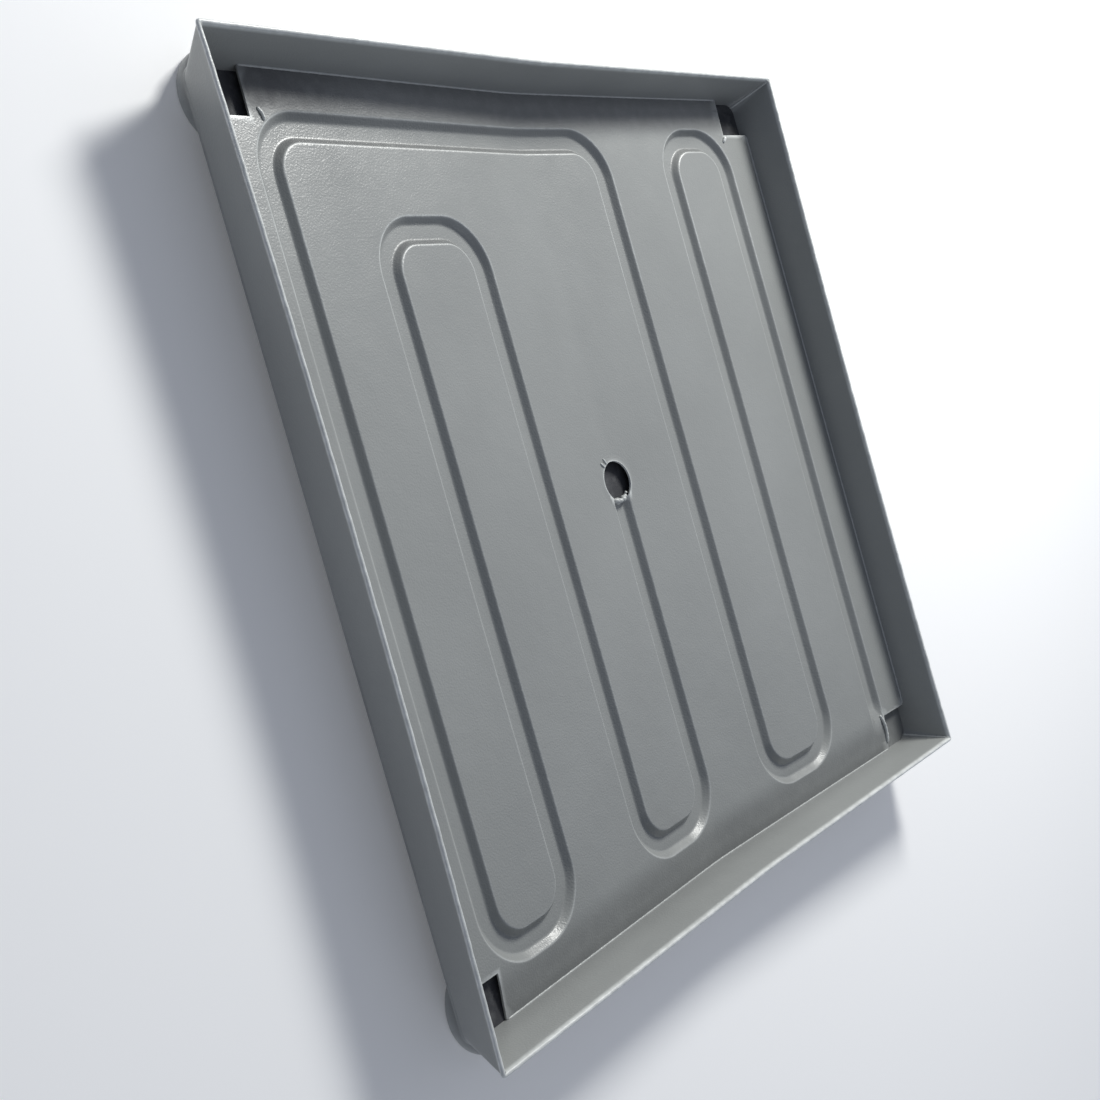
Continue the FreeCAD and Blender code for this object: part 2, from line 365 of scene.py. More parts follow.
# %% Define the tray's levels
MM = 0.001
RIM_HALF = CAD_HIGH.x
RIM_HEIGHT = CAD_HIGH.z
RIM_DIP = 9.0 * MM
SIDE_BOW = 5.0 * MM
SHEET = 3.0 * MM
SIDE_FLARE = 0.29
END_FLARE_CORNER = 0.215
END_FLARE_FOLD = 0.150
FOOT_LEVEL = 0.96
PLATE_REACH = RIM_HALF * FOOT_LEVEL
FOLD_SLOPE = 0.057
FOLD_SOFTNESS = 6.0 * MM
pan_low, pan_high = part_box("floor_pan")
PAN_TOP = pan_high.z - FOLD_SLOPE * pan_high.x
BASE_DROP = PAN_TOP - pan_low.z


def pan_plane(x):
    """Height of the floor's two planes, with the crease between them rounded."""
    return PAN_TOP + FOLD_SLOPE * np.sqrt(x * x + FOLD_SOFTNESS ** 2)


def base_plane(x):
    """Upper face of the base plate, which the bead's floor touches."""
    return pan_plane(x) - BASE_DROP


def end_flare(x):
    """Lean of the front and back walls: least at the fold, most at the corners."""
    return END_FLARE_FOLD + (END_FLARE_CORNER - END_FLARE_FOLD) * np.abs(x) / RIM_HALF


print("floor at the fold", round(PAN_TOP / MM, 2), "mm")

# %% [markdown]
# ## Walls
#
# Each wall is a strip of sheet with a sheared top edge. It is a ring of points, out from the
# foot, over the rounded rim and down the inner side, carried from one mitre to the other. The
# path turns 45 degrees in a small arc at each end, so two walls make a rounded outside corner.

# %% Define a wall's path and section
CORNER_RADIUS = 3.0 * MM
FOOT_ROUNDING = 10.0 * MM
WALL_STATIONS = 121
TURN_STATIONS = 6
WALL_ROWS = 12
LIP_POINTS = 7


def wall_path(radius):
    """Distance along and out to a wall, and its heading, with a 45 degree turn at each end."""
    straight = np.linspace(-1.0, 1.0, WALL_STATIONS)[:, None]
    turn = np.linspace(0.0, np.pi / 4, TURN_STATIONS)[1:, None]
    along = np.concatenate([
        -(RIM_HALF - radius) - radius * np.sin(turn[::-1]),
        straight * (RIM_HALF - radius),
        (RIM_HALF - radius) + radius * np.sin(turn),
    ])
    angle = np.concatenate([-turn[::-1], 0.0 * straight, turn])
    out = RIM_HALF - radius * (1.0 - np.cos(angle))
    return along, out, angle


def wall_ring():
    """Share of depth, share of thickness and lip height of the points round a wall's section."""
    depth = np.linspace(1.0, 0.0, WALL_ROWS)
    lip = np.linspace(0.0, np.pi, LIP_POINTS + 2)[1:-1]
    share = np.concatenate([depth, np.zeros(LIP_POINTS), depth[::-1]])
    outer, inner = np.zeros(WALL_ROWS), np.ones(WALL_ROWS)
    side = np.concatenate([outer, 0.5 - 0.5 * np.cos(lip), inner])
    rise = np.concatenate([outer, 0.5 * np.sin(lip), outer])
    return share[None, :], side[None, :], rise[None, :]


print("wall section", 2 * WALL_ROWS + LIP_POINTS, "points round")

# %% Raise the walls
RIM_SOFTNESS = 0.02
SHEAR_HEIGHT, SHEAR_WAVES = 0.25 * MM, (0.017, 0.029, 0.009)
RIM_WEAR_AND_HIGHLIGHT = 1.0 * MM
INNER_SHADE, SHADE_START = 0.22, 0.45


def wall_surface(is_end, sign, seed):
    """Points of one wall: rim line, plus lean times depth, less the sheet's thickness inside.
    Here a runs along the wall, o out from the middle, and t is a's share of the half side."""
    share, side, rise = wall_ring()
    along, out, angle = wall_path(CORNER_RADIUS + FOOT_ROUNDING * share)
    a = along - side * SHEET * np.sin(angle)
    o = out - side * SHEET * np.cos(angle)
    t = along / RIM_HALF
    if is_end:
        rim = RIM_HEIGHT - RIM_DIP * np.clip(1.0 - np.sqrt(t * t + RIM_SOFTNESS ** 2), 0.0, 1.0)
        lean_out, lean_along = end_flare(a), SIDE_FLARE
        foot = base_plane(np.abs(a) * FOOT_LEVEL)
    else:
        o = o - SIDE_BOW * np.clip(1.0 - t * t, 0.0, 1.0) * (1.0 - share)
        rim = RIM_HEIGHT
        lean_out, lean_along = SIDE_FLARE, END_FLARE_CORNER
        foot = base_plane(PLATE_REACH)
    depth = (rim - foot) * share
    sheared = SHEAR_HEIGHT * ripple(along, SHEAR_WAVES, seed)
    lip = np.where(share < 1e-6, (rise - 0.5) * SHEET + sheared, 0.0)
    a = a - lean_along * depth * t
    o = o - lean_out * depth
    z = rim - depth + lip
    points = np.stack([a, sign * o, z] if is_end else [sign * o, a, z], axis=-1)
    # Light line along the rim: rubbed paint and painted highlight.
    wear_and_highlight = np.exp(-(depth / RIM_WEAR_AND_HIGHLIGHT) ** 2)
    # Painted shade on the inner side, darker towards the foot.
    painted_shade = side * INNER_SHADE * smoothstep(SHADE_START, 1.0, share)
    return points, wear_and_highlight, painted_shade


def ring_faces(stations, ring):
    """Quads round a carried ring, and one flat face at each end of it."""
    body = grid_quads(stations, ring, round_columns=True)
    first = list(range(ring))
    last = [(stations - 1) * ring + k for k in range(ring)][::-1]
    return [list(q) for q in body] + [first, last]


WALLS = (
    ("front", True, -1, 0.4), ("back", True, 1, 1.3),
    ("left", False, -1, 2.1), ("right", False, 1, 3.2),
)
wall_feet = {}
for place, is_end, sign, seed in WALLS:
    points, wear_and_highlight, painted_shade = wall_surface(is_end, sign, seed)
    wall_feet[place] = points[:, 0, :2]
    faces = ring_faces(points.shape[0], points.shape[1])
    add_piece("wall_sheet_" + place, points, faces, paint_sheet,
              ["wall_" + place], wear_and_highlight, painted_shade, sharp=50.0)

# %% [markdown]
# ## The bead's line
#
# The bead is one groove that goes up and down the floor. Its middle line is straight runs
# joined by quarter turns of one radius. The corner points are the design, and the turns are
# worked out from them: the run is cut back by the radius at each corner, and an arc fills it.

# %% Draw the bead's line
TURN_RADIUS = 30.0 * MM
END_Y, LOW_Y, HUMP_Y = 255.5 * MM, 259.0 * MM, 191.0 * MM
INNER, MIDDLE, OUTER = 82.7 * MM, 172.7 * MM, 249.0 * MM
RIGHT_MIDDLE, RIGHT_OUTER = 168.7 * MM, 244.0 * MM
NOTCH_X, NOTCH_Y = 254.0 * MM, 260.0 * MM
HOLE_RADIUS = 15.0 * MM
BEAD_CORNERS = [
    (0, 0), (0, -END_Y), (-INNER, -END_Y), (-INNER, HUMP_Y), (-MIDDLE, HUMP_Y),
    (-MIDDLE, -END_Y), (-OUTER, -END_Y), (-OUTER, END_Y), (INNER, END_Y),
    (INNER, -LOW_Y), (RIGHT_MIDDLE, -LOW_Y), (RIGHT_MIDDLE, END_Y), (RIGHT_OUTER, END_Y),
    (RIGHT_OUTER, -NOTCH_Y),
]


def bead_line(step, turn_steps):
    """Points and directions along the middle line, and its straight runs and turn centres."""
    corners = np.array(BEAD_CORNERS, float)
    points, directions, runs, turns = [], [], [], []
    start = corners[0]
    for before, corner, after in zip(corners, corners[1:], corners[2:]):
        run_in = (corner - before) / np.linalg.norm(corner - before)
        run_out = (after - corner) / np.linalg.norm(after - corner)
        turn_start = corner - run_in * TURN_RADIUS
        centre = turn_start + run_out * TURN_RADIUS
        length = np.linalg.norm(turn_start - start)
        parts = np.linspace(0.0, 1.0, max(2, int(length / step)))[:-1, None]
        points.append(start + (turn_start - start) * parts)
        directions.append(np.repeat(run_in[None], len(parts), axis=0))
        angle = np.linspace(0.0, np.pi / 2, turn_steps + 1)[:-1, None]
        arc = centre - run_out * TURN_RADIUS * np.cos(angle)
        arc = arc + run_in * TURN_RADIUS * np.sin(angle)
        points.append(arc)
        directions.append(run_in * np.cos(angle) + run_out * np.sin(angle))
        runs.append((start, turn_start))
        turns.append((centre, -run_out, run_in))
        start = corner + run_out * TURN_RADIUS
    end = corners[-1]
    run = (end - start) / np.linalg.norm(end - start)
    parts = np.linspace(0.0, 1.0, int(np.linalg.norm(end - start) / step))[:, None]
    points.append(start + (end - start) * parts)
    directions.append(np.repeat(run[None], len(parts), axis=0))
    runs.append((start, end))
    return np.concatenate(points), np.concatenate(directions), runs, turns


BEAD_STEP, TURN_STEPS = 8.0 * MM, 24
FAR_AWAY = 9.0
line, headings, runs, turns = bead_line(BEAD_STEP, TURN_STEPS)


def distance_to_bead(x, y):
    """Level distance from points to the nearest straight run or turn of the middle line."""
    nearest = np.full(np.shape(x), FAR_AWAY)
    for start, end in runs:
        run = end - start
        t = np.clip(((x - start[0]) * run[0] + (y - start[1]) * run[1]) / (run @ run), 0.0, 1.0)
        gap = np.hypot(x - start[0] - t * run[0], y - start[1] - t * run[1])
        nearest = np.minimum(nearest, gap)
    for centre, first, second in turns:
        dx, dy = x - centre[0], y - centre[1]
        in_turn = (dx * first[0] + dy * first[1] >= 0) & (dx * second[0] + dy * second[1] >= 0)
        gap = np.abs(np.hypot(dx, dy) - TURN_RADIUS)
        nearest = np.where(in_turn, np.minimum(nearest, gap), nearest)
    return nearest


bead_length = float(np.hypot(*np.diff(line, axis=0).T).sum())
print("bead stations", len(line), "length", round(bead_length, 2), "m")

# %% [markdown]
# ## The floor pan
#
# A groove cut into a plain grid would have stepped edges at its turns. So the groove is a
# strip of its own, a cross-section carried along the line, and the flat sheet round it is
# filled with triangles that use the strip's own border points. The two halves are then one
# surface, without a seam. The sheet rolls down a little towards the front wall, and rises by
# less than its own thickness towards the back wall.

# %% Shape the floor pan
BEAD_DEPTH = 4.8 * MM
BEAD_SHOULDER, BEAD_FLANK = 9.7 * MM, 4.6 * MM
STRIP_HALF = 12.0 * MM
STRIP_COLUMNS = 33
MIDDLE_COLUMN = STRIP_COLUMNS // 2
SECTION_SAMPLES, ROUNDING_SAMPLES = 961, 61
RUN_OUT = 7.0 * MM
MARGIN_START, MARGIN_END = 254.0 * MM, 290.0 * MM
FRONT_BEND, BACK_BEND = 14.0 * MM, 6.0 * MM
FRONT_DROP, BACK_DROP = 4.2 * MM, -0.8 * MM
WAVE_HEIGHT = 0.10 * MM
HOLE_LIP, HOLE_LIP_WIDTH = 0.5 * MM, 1.6 * MM
PAN_SHEET = 1.5 * MM
EDGE_CLEARANCE = 0.3 * MM


def margin_roll(y):
    """Fall of the sheet next to an end wall: a parabola, then a slope. A rise is below 0."""
    at_front = np.asarray(y) < 0.0
    past = np.maximum(np.abs(y) - MARGIN_START, 0.0)
    bend = np.where(at_front, FRONT_BEND, BACK_BEND)
    bent = np.where(past < bend, past ** 2 / (2 * bend), past - bend / 2)
    drop = np.where(at_front, FRONT_DROP, BACK_DROP)
    return bent * drop / (MARGIN_END - MARGIN_START - bend / 2)


def pan_surface(x, y):
    """Height of the pan without its bead: two planes, less the margins' roll, plus slow waves
    (products and sums of sines) and a bell-shaped lip round the hole."""
    swell = np.sin(x * 31.0 + 1.0) * np.sin(y * 23.0 + 0.4) + np.sin(x * 13.0 - y * 17.0)
    waves = WAVE_HEIGHT * swell
    lip = HOLE_LIP * np.exp(-((np.hypot(x, y) - HOLE_RADIUS) / HOLE_LIP_WIDTH) ** 2)
    return pan_plane(x) - margin_roll(y) + waves + lip


def bead_section(offset):
    """Depth across the bead: a flat floor and two straight flanks, with small radii between."""
    across = np.linspace(-STRIP_HALF, STRIP_HALF, SECTION_SAMPLES)
    flat = np.clip((BEAD_SHOULDER - np.abs(across)) / BEAD_FLANK, 0.0, 1.0)
    kernel = np.hanning(ROUNDING_SAMPLES)
    padded = np.pad(flat, ROUNDING_SAMPLES // 2, mode="edge")
    rounded = np.convolve(padded, kernel / kernel.sum(), mode="valid")
    return -BEAD_DEPTH * np.interp(offset, across, rounded)


def pan_end(x, drop):
    """How far the sheet reaches in Y: as far as the inner side of the end wall."""
    z = pan_plane(x) - drop
    rim = RIM_HEIGHT - RIM_DIP * (1.0 - np.abs(x) / RIM_HALF)
    return RIM_HALF - SHEET - end_flare(x) * (rim - z) - EDGE_CLEARANCE


def front_end(x):
    """Reach of the sheet at the front."""
    return pan_end(x, FRONT_DROP)


def back_end(x):
    """Reach of the sheet at the back."""
    return pan_end(x, BACK_DROP)


print("bead depth", round(BEAD_DEPTH / MM, 1), "mm, front drop", round(FRONT_DROP / MM, 1), "mm")

# %% Press the bead
offsets = np.linspace(-STRIP_HALF, STRIP_HALF, STRIP_COLUMNS)
side_x, side_y = headings[:, 1], -headings[:, 0]
strip_x = line[:, :1] + side_x[:, None] * offsets
strip_y = line[:, 1:] + side_y[:, None] * offsets
past_hole = (np.abs(line[:, 0]) >= 1e-9) | (line[:, 1] <= -HOLE_RADIUS)
strip_x, strip_y = strip_x[past_hole], strip_y[past_hole]
hole_edge = -np.sqrt(HOLE_RADIUS ** 2 - offsets ** 2)
strip_x = np.vstack([strip_x[:1], strip_x])
strip_y = np.vstack([hole_edge[None, :], strip_y])
middle_x, middle_y = strip_x[:, MIDDLE_COLUMN], strip_y[:, MIDDLE_COLUMN]
at_run_out = (middle_x > RIGHT_OUTER - MM) & (middle_y < 0.0)
run_out_fade = np.where(at_run_out, smoothstep(0.0, RUN_OUT, middle_y + NOTCH_Y), 1.0)
strip_z = pan_surface(strip_x, strip_y) + run_out_fade[:, None] * bead_section(offsets)[None, :]
strip_points = np.stack([strip_x, strip_y, strip_z], axis=-1)
print("bead strip", strip_points.shape)

# %% Outline the flat sheet
END_POINTS, SIDE_POINTS = 57, 53
SHELF_POINTS, CUT_POINTS = 5, 6


def outline_points():
    """Corner-notched border of the sheet, anticlockwise, as a closed loop."""
    side_x = pan_high.x
    ends = np.linspace(-NOTCH_X, NOTCH_X, END_POINTS)
    sides = np.linspace(-NOTCH_Y, NOTCH_Y, SIDE_POINTS)
    reach = np.linspace(NOTCH_X, side_x, SHELF_POINTS)[1:-1]
    front = np.stack([ends, -front_end(ends)], axis=1)
    back = np.stack([ends[::-1], back_end(ends[::-1])], axis=1)
    right = np.stack([np.full_like(sides, side_x), sides], axis=1)
    left = np.stack([np.full_like(sides, -side_x), sides[::-1]], axis=1)

    def notch(sign_x, sign_y, outward):
        """Points round one notch: its shelf, its inner corner, and the cut to the end."""
        shelf = np.stack([sign_x * reach, np.full_like(reach, sign_y * NOTCH_Y)], axis=1)
        corner = np.array([[sign_x * NOTCH_X, sign_y * NOTCH_Y]])
        reach_y = front_end(NOTCH_X) if sign_y < 0 else back_end(NOTCH_X)
        rise = np.linspace(NOTCH_Y, float(reach_y), CUT_POINTS)[1:-1]
        cut = np.stack([np.full_like(rise, sign_x * NOTCH_X), sign_y * rise], axis=1)
        inward = np.concatenate([shelf[::-1], corner, cut])
        return inward[::-1] if outward else inward

    return np.concatenate([
        front, notch(1, -1, True), right, notch(1, 1, False),
        back, notch(-1, 1, True), left, notch(-1, -1, False),
    ])


border = outline_points()
print("border points", len(border))

# %% Define the filling
def fill_flat(loops, lines, free, inside):
    """Constrained triangles between closed loops, open lines and free points, where inside."""
    groups = [*loops, *lines, *free]
    first = np.cumsum([0] + [len(g) for g in groups])
    edges = []
    for k, group in enumerate(loops):
        edges += [(first[k] + i, first[k] + (i + 1) % len(group)) for i in range(len(group))]
    for k in range(len(loops), len(loops) + len(lines)):
        edges += [(i, i + 1) for i in range(first[k], first[k + 1] - 1)]
    flat = np.concatenate(groups) / MM
    edges = [(int(i), int(j)) for i, j in edges]
    found = delaunay_2d_cdt([Vector(p) for p in flat], edges, [], 0, 1e-6, False)
    corners = np.array([tuple(v) for v in found[0]]) * MM
    triangles = np.array([f for f in found[2] if len(f) == 3])
    middle = corners[triangles].mean(axis=1)
    return corners, triangles[inside(middle[:, 0], middle[:, 1])]


def circle(radius, count, start=0.0, end=2.0 * np.pi):
    """Points round a circle about the middle of the cover, or along an arc of it."""
    angle = np.linspace(start, end, count + 1)[:-1]
    return np.stack([radius * np.cos(angle), radius * np.sin(angle)], axis=1)


def mesh_points(columns, rows, clear):
    """Crossings of two sets of lines, where clear."""
    x, y = (g.ravel() for g in np.meshgrid(columns, rows))
    keep = clear(x, y)
    return np.stack([x[keep], y[keep]], axis=1)


def clear_of_edges(x, y):
    """Away from the bead, the hole and the notches, so that no triangle is a sliver."""
    in_sheet = (np.abs(x) < NOTCH_X - 1.0 * MM) | (np.abs(y) < NOTCH_Y - 1.0 * MM)
    far_from_bead = distance_to_bead(x, y) > STRIP_HALF + 1.5 * MM
    return in_sheet & far_from_bead & (np.hypot(x, y) > HOLE_RADIUS + 2.0 * MM)


def in_pan(x, y):
    """Inside the notched outline, outside the bead's strip and the hole."""
    reached = (y > -front_end(x) - MERGE_DISTANCE) & (y < back_end(x) + MERGE_DISTANCE)
    in_middle = (np.abs(x) < NOTCH_X) & reached
    in_sides = (np.abs(x) < pan_high.x) & (np.abs(y) < NOTCH_Y)
    past_bead = (y < -NOTCH_Y) & (x > RIGHT_OUTER - STRIP_HALF)
    in_strip = (distance_to_bead(x, y) < STRIP_HALF - 0.05 * MM) & ~past_bead
    return (in_middle | in_sides) & ~in_strip & (np.hypot(x, y) > HOLE_RADIUS * 0.999)


# %% Fill the flat sheet
HOLE_POINTS, COLLAR_POINTS = 60, 72
SHEET_STEP = 9 * MM
half_mouth = np.arcsin(STRIP_HALF / HOLE_RADIUS)
hole = circle(HOLE_RADIUS, HOLE_POINTS, -np.pi / 2 + half_mouth, 1.5 * np.pi - half_mouth)
hole = np.concatenate([hole, [[-STRIP_HALF, -np.sqrt(HOLE_RADIUS ** 2 - STRIP_HALF ** 2)]]])
collars = np.concatenate([circle(r * MM, COLLAR_POINTS) for r in (16.2, 18.0, 21.0)])
collars = collars[distance_to_bead(collars[:, 0], collars[:, 1]) > STRIP_HALF + 0.5 * MM]
crease = np.array([-12, -8, -5, -2.5, 0.0, 2.5, 5, 8, 12]) * MM
columns = np.concatenate([np.arange(-pan_high.x + SHEET_STEP, pan_high.x, SHEET_STEP), crease])
bends = np.array([254, 257, 260.5, 264, 268, 272, 281]) * MM
rows = np.concatenate([np.arange(-276 * MM, 277 * MM, SHEET_STEP), bends, -bends])
sides = [np.stack([strip_x[:, k], strip_y[:, k]], axis=1) for k in (0, -1)]
run_out = np.stack([strip_x[-1], strip_y[-1]], axis=1)
sides.append(run_out[run_out[:, 0] < NOTCH_X - 0.1 * MM])
flat_points, flat_faces = fill_flat(
    [border], [hole, *sides], [mesh_points(columns, rows, clear_of_edges), collars], in_pan)
print("sheet", len(flat_points), "points", len(flat_faces), "triangles")

# %% Join the bead and the sheet
flat_z = pan_surface(flat_points[:, 0], flat_points[:, 1])
sheet_points = np.column_stack([flat_points, flat_z])
pan_points = np.concatenate([strip_points.reshape(-1, 3), sheet_points])
strip_faces = grid_quads(*strip_points.shape[:2])
pan_faces = [list(q[::-1]) for q in strip_faces]
pan_faces += [list(t + strip_x.size) for t in flat_faces]
print("pan", len(pan_points), "points", len(pan_faces), "faces")

# %% [markdown]
# ## Wear, painted highlights and painted shade on the pan
#
# Paint is rubbed thin first where a cut or a bend stands proud, so light lines are a narrow bell
# curve of the distance to the notches, to the hole and to the bead's shoulders. On the shoulders
# the lines are partly rubbed paint and partly painted highlight, with more painted highlight
# towards the back wall. Shade is painted as a dark, dull coat next to the walls, most along the
# back on the left, and in the groove towards the back wall, on the slopes that face it.

# %% Rub the pan and paint its highlights and shade
CUT_WEAR, SHOULDER_WEAR_AND_HIGHLIGHT = 0.8 * MM, 0.55 * MM
NEAR_BACK = (110 * MM, 175 * MM)
FRONT_MARGIN, BACK_MARGIN = (256 * MM, 275 * MM), (258 * MM, 270 * MM)
LEFT_PART, SIDE_MARGIN = (140 * MM, 240 * MM), (275 * MM, 288 * MM)


def pan_wear_and_highlight(points, back_share):
    """Bell curve of the distance to the nearest cut, or the shoulders' own where it is more."""
    x, y = np.abs(points[:, 0]), np.abs(points[:, 1])
    notch_gap = np.minimum(np.abs(x - NOTCH_X) + FAR_AWAY * (y < NOTCH_Y - MM),
                           np.abs(y - NOTCH_Y) + FAR_AWAY * (x < NOTCH_X - MM))
    hole_gap = np.abs(np.hypot(points[:, 0], points[:, 1]) - HOLE_RADIUS)
    wear_and_highlight = np.exp(-(np.minimum(notch_gap, hole_gap) / CUT_WEAR) ** 2)
    shoulder = np.exp(-((np.abs(offsets) - BEAD_SHOULDER) / SHOULDER_WEAR_AND_HIGHLIGHT) ** 2)
    # Light lines on the shoulders: rubbed paint and painted highlight, more towards the back.
    rubbed_and_lit = (shoulder * (0.45 + 0.45 * back_share)).reshape(-1)
    wear_and_highlight[:strip_x.size] = np.maximum(wear_and_highlight[:strip_x.size], rubbed_and_lit)
    return wear_and_highlight


def pan_painted_shade(points, back_share):
    """Sum of soft steps towards the walls, and the slope's share that faces the back wall."""
    # Painted shade: darker next to the walls, and on the groove's slopes that face the back wall.
    painted_shade = 0.30 * smoothstep(*FRONT_MARGIN, -points[:, 1])
    in_back_margin = smoothstep(*BACK_MARGIN, points[:, 1])
    painted_shade += in_back_margin * (0.42 + 0.30 * smoothstep(*LEFT_PART, -points[:, 0]))
    painted_shade = np.maximum(painted_shade, 0.16 * smoothstep(*SIDE_MARGIN, np.abs(points[:, 0])))
    slope = np.gradient(bead_section(offsets), offsets)
    turned_back = (strip_y[:, -1:] - strip_y[:, :1]) / (2 * STRIP_HALF)
    faces_back = np.clip(-slope * turned_back, 0.0, 1.0)
    painted_shade[:strip_x.size] += 0.55 * (faces_back * back_share).reshape(-1)
    return painted_shade


near_back = smoothstep(*NEAR_BACK, strip_y)
pan = add_piece("pressed_pan", pan_points, pan_faces, paint_pan,
                ["floor_pan"], pan_wear_and_highlight(pan_points, near_back), pan_painted_shade(pan_points, near_back),
                sharp=60.0)

# %% Give the pan its thickness
CUT_ROUNDING = 0.35 * MM


def finish_sheet(piece, gauge):
    """Give a surface its thickness downwards and take the sharpness off its cut edges."""
    thickness = piece.modifiers.new("gauge", "SOLIDIFY")
    thickness.thickness = gauge
    thickness.offset = -1.0
    soft_edge = piece.modifiers.new("soft_edge", "BEVEL")
    soft_edge.width = CUT_ROUNDING
    soft_edge.segments = 2
    soft_edge.limit_method = "ANGLE"
    soft_edge.angle_limit = np.radians(55.0)
    print(piece.name, "is", round(gauge / MM, 1), "mm thick")


finish_sheet(pan, PAN_SHEET)

# %% [markdown]
# ## Base plate
#
# The second sheet closes the cover from below and ties the feet of the walls together. Its
# outline is the row of points at the walls' feet, and it has the same crease as the pan. Its
# upper side carries painted shade, a dark and dull coat that is lighter round the front right
# corner, and only its lower side has a clean coat.

# %% Lay the base plate
PLATE_SHEET = 2.0 * MM
PLATE_STEP = 14 * MM
PLATE_WAVE = 0.12 * MM
UNSHADED_RADIUS, SHADED_RADIUS = 60 * MM, 110 * MM
PLACES = {
    "front_left": (-1, -1), "front_right": (1, -1), "back_left": (-1, 1), "back_right": (1, 1),
}
feet = {}
for place, (sx, sy) in PLACES.items():
    pad_low, pad_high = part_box("pad_" + place)
    middle = (pad_low + pad_high) / 2
    feet[place] = (middle.x, middle.y)
foot_radius = (pad_high.y - pad_low.y) / 2


def in_plate(x, y):
    """Everything inside the walls' feet belongs to the plate."""
    return np.full(np.shape(x), True)


plate_border = np.concatenate([
    wall_feet["front"][:-1], wall_feet["right"][:-1],
    wall_feet["back"][:0:-1], wall_feet["left"][:0:-1],
])
plate_rows = np.arange(-280 * MM, 281 * MM, PLATE_STEP)
plate_free = mesh_points(np.concatenate([plate_rows, crease]), plate_rows, in_plate)
plate_flat, plate_faces = fill_flat([plate_border], [], [plate_free], in_plate)
plate_x, plate_y = plate_flat[:, 0], plate_flat[:, 1]
# Painted shade over the plate's upper side, lighter round the front right corner.
unshaded_corner_gap = np.hypot(plate_x - RIM_HALF, plate_y + RIM_HALF)
plate_painted_shade = 0.45 + 0.60 * smoothstep(UNSHADED_RADIUS, SHADED_RADIUS, unshaded_corner_gap)
plate_z = base_plane(plate_x) + PLATE_WAVE * np.sin(plate_x * 19.0) * np.sin(plate_y * 15.0)
plate = add_piece("base_sheet", np.column_stack([plate_flat, plate_z]), plate_faces, paint_sheet,
                  ["base_plate"], painted_shade=plate_painted_shade)
finish_sheet(plate, PLATE_SHEET)
plate.data.materials.append(paint_under)
plate.modifiers["gauge"].material_offset = 1
plate.modifiers["gauge"].material_offset_rim = 1

# %% [markdown]
# ## Feet
#
# A turned shape is one outline spun round an axis. Each foot is a pressed disc with a rounded
# lower edge and a shallow groove under the plate. Its upper rings follow the plate's slope.

# %% Turn the feet
SUNK_TOP = PLATE_SHEET * 0.9
FOOT_EDGE = 2.2 * MM
FOOT_WEAR = 0.45
SPIN_STEPS = 96
GROOVE_OUT = np.array([0.0, 0.6, 1.0, 1.0, 0.995, 0.975, 0.975, 0.995, 1.0])
GROOVE_UP = np.array([1.0, 1.0, 1.0, 0.88, 0.76, 0.73, 0.66, 0.63, 0.45])
EDGE_BEND = np.linspace(0.0, np.pi / 2, 7)


def foot_points(centre_x, centre_y, radius):
    """Outline of radius and height spun round a vertical axis, from the top to the bottom:
    the disc's top and grooved side as shares of its size, a quarter round, and the flat."""
    rounded = radius - FOOT_EDGE * (1.0 - np.cos(EDGE_BEND))
    out = np.concatenate([radius * GROOVE_OUT, rounded, [radius * 0.5, 0.0]])
    low = np.concatenate([FOOT_EDGE * (1.0 - np.sin(EDGE_BEND)), [0.0, 0.0]])
    angle = np.linspace(0.0, 2.0 * np.pi, SPIN_STEPS + 1)[:-1]
    x = centre_x + out[None, :] * np.cos(angle)[:, None]
    y = centre_y + out[None, :] * np.sin(angle)[:, None]
    under = base_plane(np.minimum(np.abs(x), PLATE_REACH)) - SUNK_TOP
    upper = GROOVE_UP[None, :] * under[:, :len(GROOVE_UP)]
    z = np.concatenate([upper, np.tile(low, (len(angle), 1))], axis=1)
    return np.stack([x, y, z], axis=-1)


for place, spot in feet.items():
    points = foot_points(*spot, foot_radius)
    faces = grid_quads(points.shape[0], points.shape[1], round_rows=True)
    edge = np.zeros(points.shape[:2])
    edge[:, len(GROOVE_UP):len(GROOVE_UP) + len(EDGE_BEND) - 1] = FOOT_WEAR
    add_piece("foot_" + place, points, faces.tolist(), paint_pad,
              ["pad_" + place], edge, sharp=50.0)

# %% [markdown]
# ## Welds and paint lines
#
# A weld or a run of paint in a corner is a thin rod that follows a line, half sunk in the
# sheets on both sides, and never even. So it is a circle carried along the line, with its
# radius changed by ripples: short ones for the weld's puddles and longer ones for the hand.

# %% Define the weld
PUDDLES, PUDDLE_WAVES, PUDDLE_PHASE = 0.22, (0.0031, 0.0047, 0.0113), 0.9
END_TAPER = 1.5 * MM


def rod(path, radius, sides):
    """Circle of changing radius carried along a path, square to it, closed by its end rings."""
    heading = np.gradient(path, axis=0)
    heading /= np.linalg.norm(heading, axis=1)[:, None]
    aside = np.cross(heading, [0.0, 0.0, 1.0])
    aside = np.where(np.linalg.norm(aside, axis=1)[:, None] < 1e-6, [1.0, 0.0, 0.0], aside)
    aside /= np.linalg.norm(aside, axis=1)[:, None]
    over = np.cross(aside, heading)
    angle = np.linspace(0.0, 2.0 * np.pi, sides + 1)[None, :-1, None]
    ring = aside[:, None] * np.cos(angle) + over[:, None] * np.sin(angle)
    return path[:, None] + ring * radius[:, None, None]


